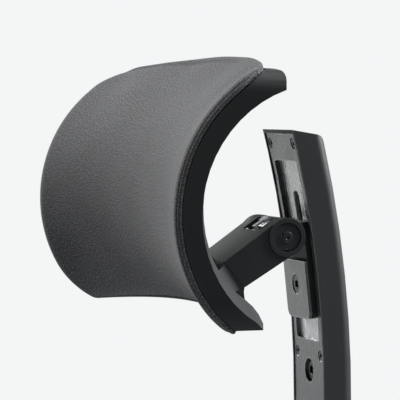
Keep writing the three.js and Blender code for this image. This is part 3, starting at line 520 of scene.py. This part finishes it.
def make_cover(columns=97, rows=65):
    """The padded cover: a front over the padding and a back on the shell's rim, one closed form."""
    xs, lengths = cover_grid(columns, rows)
    height = rolled(distance_to_edge(xs, lengths), xs)
    front = cover_point(xs, lengths, height).reshape(-1, 3)
    back = cover_point(xs, lengths, 0 * height).reshape(-1, 3)
    inner = np.zeros((columns, rows), bool)
    inner[1:-1, 1:-1] = True
    back_index = np.arange(columns * rows)
    kept = np.flatnonzero(inner.ravel())
    back_index[kept] = columns * rows + np.arange(len(kept))
    faces = []
    for i in range(columns - 1):
        for j in range(rows - 1):
            a = i * rows + j
            square = (a, a + rows, a + rows + 1, a + 1)
            faces.append(square)
            faces.append(tuple(int(back_index[k]) for k in reversed(square)))
    flat = np.stack([xs, lengths], -1).reshape(-1, 2)
    points = np.concatenate([front, back[kept]])
    cover = new_piece("cushion_cover", points, faces, FABRIC, np.concatenate([flat, flat[kept]]))
    edge = [int(k) for k in np.flatnonzero(~inner.ravel())]
    pinned = edge + list(range(columns * rows, len(points)))
    cover.vertex_groups.new(name="pinned").add(pinned, 1.0, "REPLACE")
    return cover


def mesh_places(mesh):
    places = np.zeros(len(mesh.vertices) * 3, np.float32)
    mesh.vertices.foreach_get("co", places)
    return places.reshape(-1, 3)


def eased(move, edges):
    """Averages each moving point's move with its neighbours', several times over."""
    ends = np.array([edge.vertices for edge in edges])
    neighbours = np.bincount(ends.ravel(), minlength=len(move))[:, None]
    free = np.linalg.norm(move, axis=1, keepdims=True) > 1e-7
    for _ in range(EASE_ROUNDS):
        total = np.zeros_like(move)
        np.add.at(total, ends[:, 0], move[ends[:, 1]])
        np.add.at(total, ends[:, 1], move[ends[:, 0]])
        move = free * total / neighbours
    return move


def swell(piece):
    """Inflates a pinned cover a little by cloth simulation and keeps the result."""
    cloth = piece.modifiers.new("cloth", "CLOTH")
    settings = cloth.settings
    settings.quality = 6
    settings.mass = 0.3
    settings.tension_stiffness = 25
    settings.compression_stiffness = 25
    settings.shear_stiffness = 12
    settings.bending_stiffness = 4
    settings.use_pressure = True
    settings.uniform_pressure_force = 4.0
    settings.vertex_group_mass = "pinned"
    settings.effector_weights.gravity = 0
    cloth.collision_settings.use_collision = False
    scene = bpy.context.scene
    for number in range(1, SWELL_FRAMES + 1):
        scene.frame_set(number)
    evaluated = piece.evaluated_get(bpy.context.evaluated_depsgraph_get())
    rest = mesh_places(piece.data)
    move = eased(mesh_places(evaluated.data) - rest, piece.data.edges)
    far = np.maximum(np.linalg.norm(move, axis=1, keepdims=True), 1e-9)
    rest += move * np.minimum(1, SWELL_CAP / far)
    piece.modifiers.remove(cloth)
    piece.data.vertices.foreach_set("co", rest.ravel())
    piece.data.update()
    scene.frame_set(1)


def make_piping(sides=10):
    """The corded edge of the cover, a thin tube that lies against the shell's rim."""
    xs, lengths = cover_grid(61, 41)
    loop = edge_loop(xs, lengths)
    tucked = np.clip((loop[:, 1] / loop[:, 1].max() + 0.2) / 0.8, 0, 1)
    loop[:, 1] -= PIPING_TUCK * tucked**2
    path = cover_point(loop[:, 0], loop[:, 1], PIPING_RADIUS * 1.05)
    kept = [0]
    for k in range(1, len(path)):
        if np.linalg.norm(path[k] - path[kept[-1]]) > PIPING_STEP:
            kept.append(k)
    path = path[kept]
    middle = path.mean(0)
    ahead = np.roll(path, -1, 0) - np.roll(path, 1, 0)
    ahead /= np.linalg.norm(ahead, axis=1, keepdims=True)
    out = path - middle
    out -= (out * ahead).sum(1, keepdims=True) * ahead
    out /= np.linalg.norm(out, axis=1, keepdims=True)
    side = np.cross(ahead, out)
    run = np.concatenate([[0], np.cumsum(np.linalg.norm(np.diff(path, axis=0), axis=1))])
    points, uvs = [], []
    for p, o, s, r in zip(path, out, side, run):
        for k in range(sides):
            turn = 2 * math.pi * k / sides
            points.append(p + PIPING_RADIUS * (math.cos(turn) * o + math.sin(turn) * s))
            uvs.append((PIPING_RADIUS * turn, r))
    count = len(path)
    faces = [(a * sides + k, a * sides + (k + 1) % sides,
              (a + 1) % count * sides + (k + 1) % sides, (a + 1) % count * sides + k)
             for a in range(count) for k in range(sides)]
    return new_piece("cushion_piping", points, faces, FABRIC, uvs)


def finer(piece):
    made = piece.modifiers.new("finer", "SUBSURF")
    made.levels = 1
    made.render_levels = 1


def make_cushion():
    cover = make_cover()
    swell(cover)
    finer(cover)
    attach(cover, "headrest")
    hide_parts("cushion")
    piping = make_piping()
    finer(piping)
    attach(piping, "headrest")


# ------------------------------------------------------------------ stage, light and camera


def make_floor():
    low, _ = CAD_BOUNDS
    bpy.ops.mesh.primitive_circle_add(vertices=96, radius=FLOOR_RADIUS, fill_type="NGON",
                                      location=(0, 0, low[2] - FLOOR_DROP))
    floor = bpy.context.object
    floor.name = "floor"
    made = Shader("pale_floor", Roughness=0.9, Specular_IOR_Level=0.1, Emission_Strength=FLOOR_GLOW)
    made.shader.inputs["Emission Color"].default_value = (1, 1, 1, 1)
    speckle = made.noise(made.place(), 6.0, detail=3.0)
    shade = made.mix(speckle, (0.50, 0.505, 0.51), (0.54, 0.545, 0.55))
    floor.data.materials.append(made.feed(Base_Color=shade))


def soft_light(name, place, size, power):
    light = bpy.data.lights.new(name, "AREA")
    light.shape = "RECTANGLE"
    light.size, light.size_y = size
    light.energy = power
    lamp = bpy.data.objects.new(name, light)
    lamp.location = place
    lamp.rotation_euler = (AIM - Vector(place)).to_track_quat("-Z", "Y").to_euler()
    bpy.context.scene.collection.objects.link(lamp)


def studio_world():
    """A plain white backdrop all round, which lights the part mostly from the far wall."""
    world = bpy.data.worlds.new("studio")
    world.use_nodes = True
    tree = world.node_tree
    place = tree.nodes.new("ShaderNodeTexCoord")
    split = tree.nodes.new("ShaderNodeSeparateXYZ")
    walls = tree.nodes.new("ShaderNodeValToRGB")
    walls.color_ramp.interpolation = "EASE"
    near, far = walls.color_ramp.elements
    near.position, near.color = FAR_WALL_SPREAD[0], (*NEAR_WALL, 1)
    far.position, far.color = FAR_WALL_SPREAD[1], (*FAR_WALL, 1)
    towards = tree.nodes.new("ShaderNodeVectorMath")
    towards.operation = "DOT_PRODUCT"
    towards.inputs[1].default_value = (-math.sin(AZIMUTH), math.cos(AZIMUTH), 0)
    turned = tree.nodes.new("ShaderNodeMapRange")
    turned.inputs["From Min"].default_value = -1
    turned.inputs["From Max"].default_value = 1
    tree.links.new(place.outputs["Generated"], split.inputs[0])
    tree.links.new(place.outputs["Generated"], towards.inputs[0])
    tree.links.new(towards.outputs["Value"], turned.inputs["Value"])
    tree.links.new(turned.outputs["Result"], walls.inputs["Fac"])
    above = tree.nodes.new("ShaderNodeValToRGB")
    low, high = above.color_ramp.elements
    low.position, low.color = CEILING_SPREAD[0], (1, 1, 1, 1)
    high.position, high.color = CEILING_SPREAD[1], (*CEILING, 1)
    tree.links.new(split.outputs["Z"], above.inputs["Fac"])
    both = tree.nodes.new("ShaderNodeMix")
    both.data_type, both.blend_type = "RGBA", "MULTIPLY"
    both.inputs[0].default_value = 1.0
    tree.links.new(walls.outputs["Color"], both.inputs[6])
    tree.links.new(above.outputs["Color"], both.inputs[7])
    seen = tree.nodes.new("ShaderNodeMix")
    seen.data_type = "RGBA"
    seen.inputs[7].default_value = (*FAR_WALL, 1)
    tree.links.new(tree.nodes.new("ShaderNodeLightPath").outputs["Is Camera Ray"], seen.inputs[0])
    tree.links.new(both.outputs[2], seen.inputs[6])
    tree.links.new(seen.outputs[2], tree.nodes["Background"].inputs["Color"])
    bpy.context.scene.world = world


def light_the_scene():
    studio_world()
    for name, place, size, power in LIGHTS:
        soft_light(name, place, size, power)


def place_camera():
    camera = bpy.data.objects.new("camera", bpy.data.cameras.new("camera"))
    camera.data.sensor_width = 36
    camera.data.angle = FIELD_OF_VIEW
    camera.data.clip_end = 50
    flat = math.cos(ELEVATION)
    towards = Vector((math.sin(AZIMUTH) * flat, -math.cos(AZIMUTH) * flat, math.sin(ELEVATION)))
    camera.location = AIM + DISTANCE * towards
    camera.rotation_euler = (-towards).to_track_quat("-Z", "Y").to_euler()
    bpy.context.scene.collection.objects.link(camera)
    bpy.context.scene.camera = camera
    bpy.context.scene.view_settings.view_transform = "Standard"


dress_cad_pieces()
make_cushion()
make_floor()
light_the_scene()
place_camera()
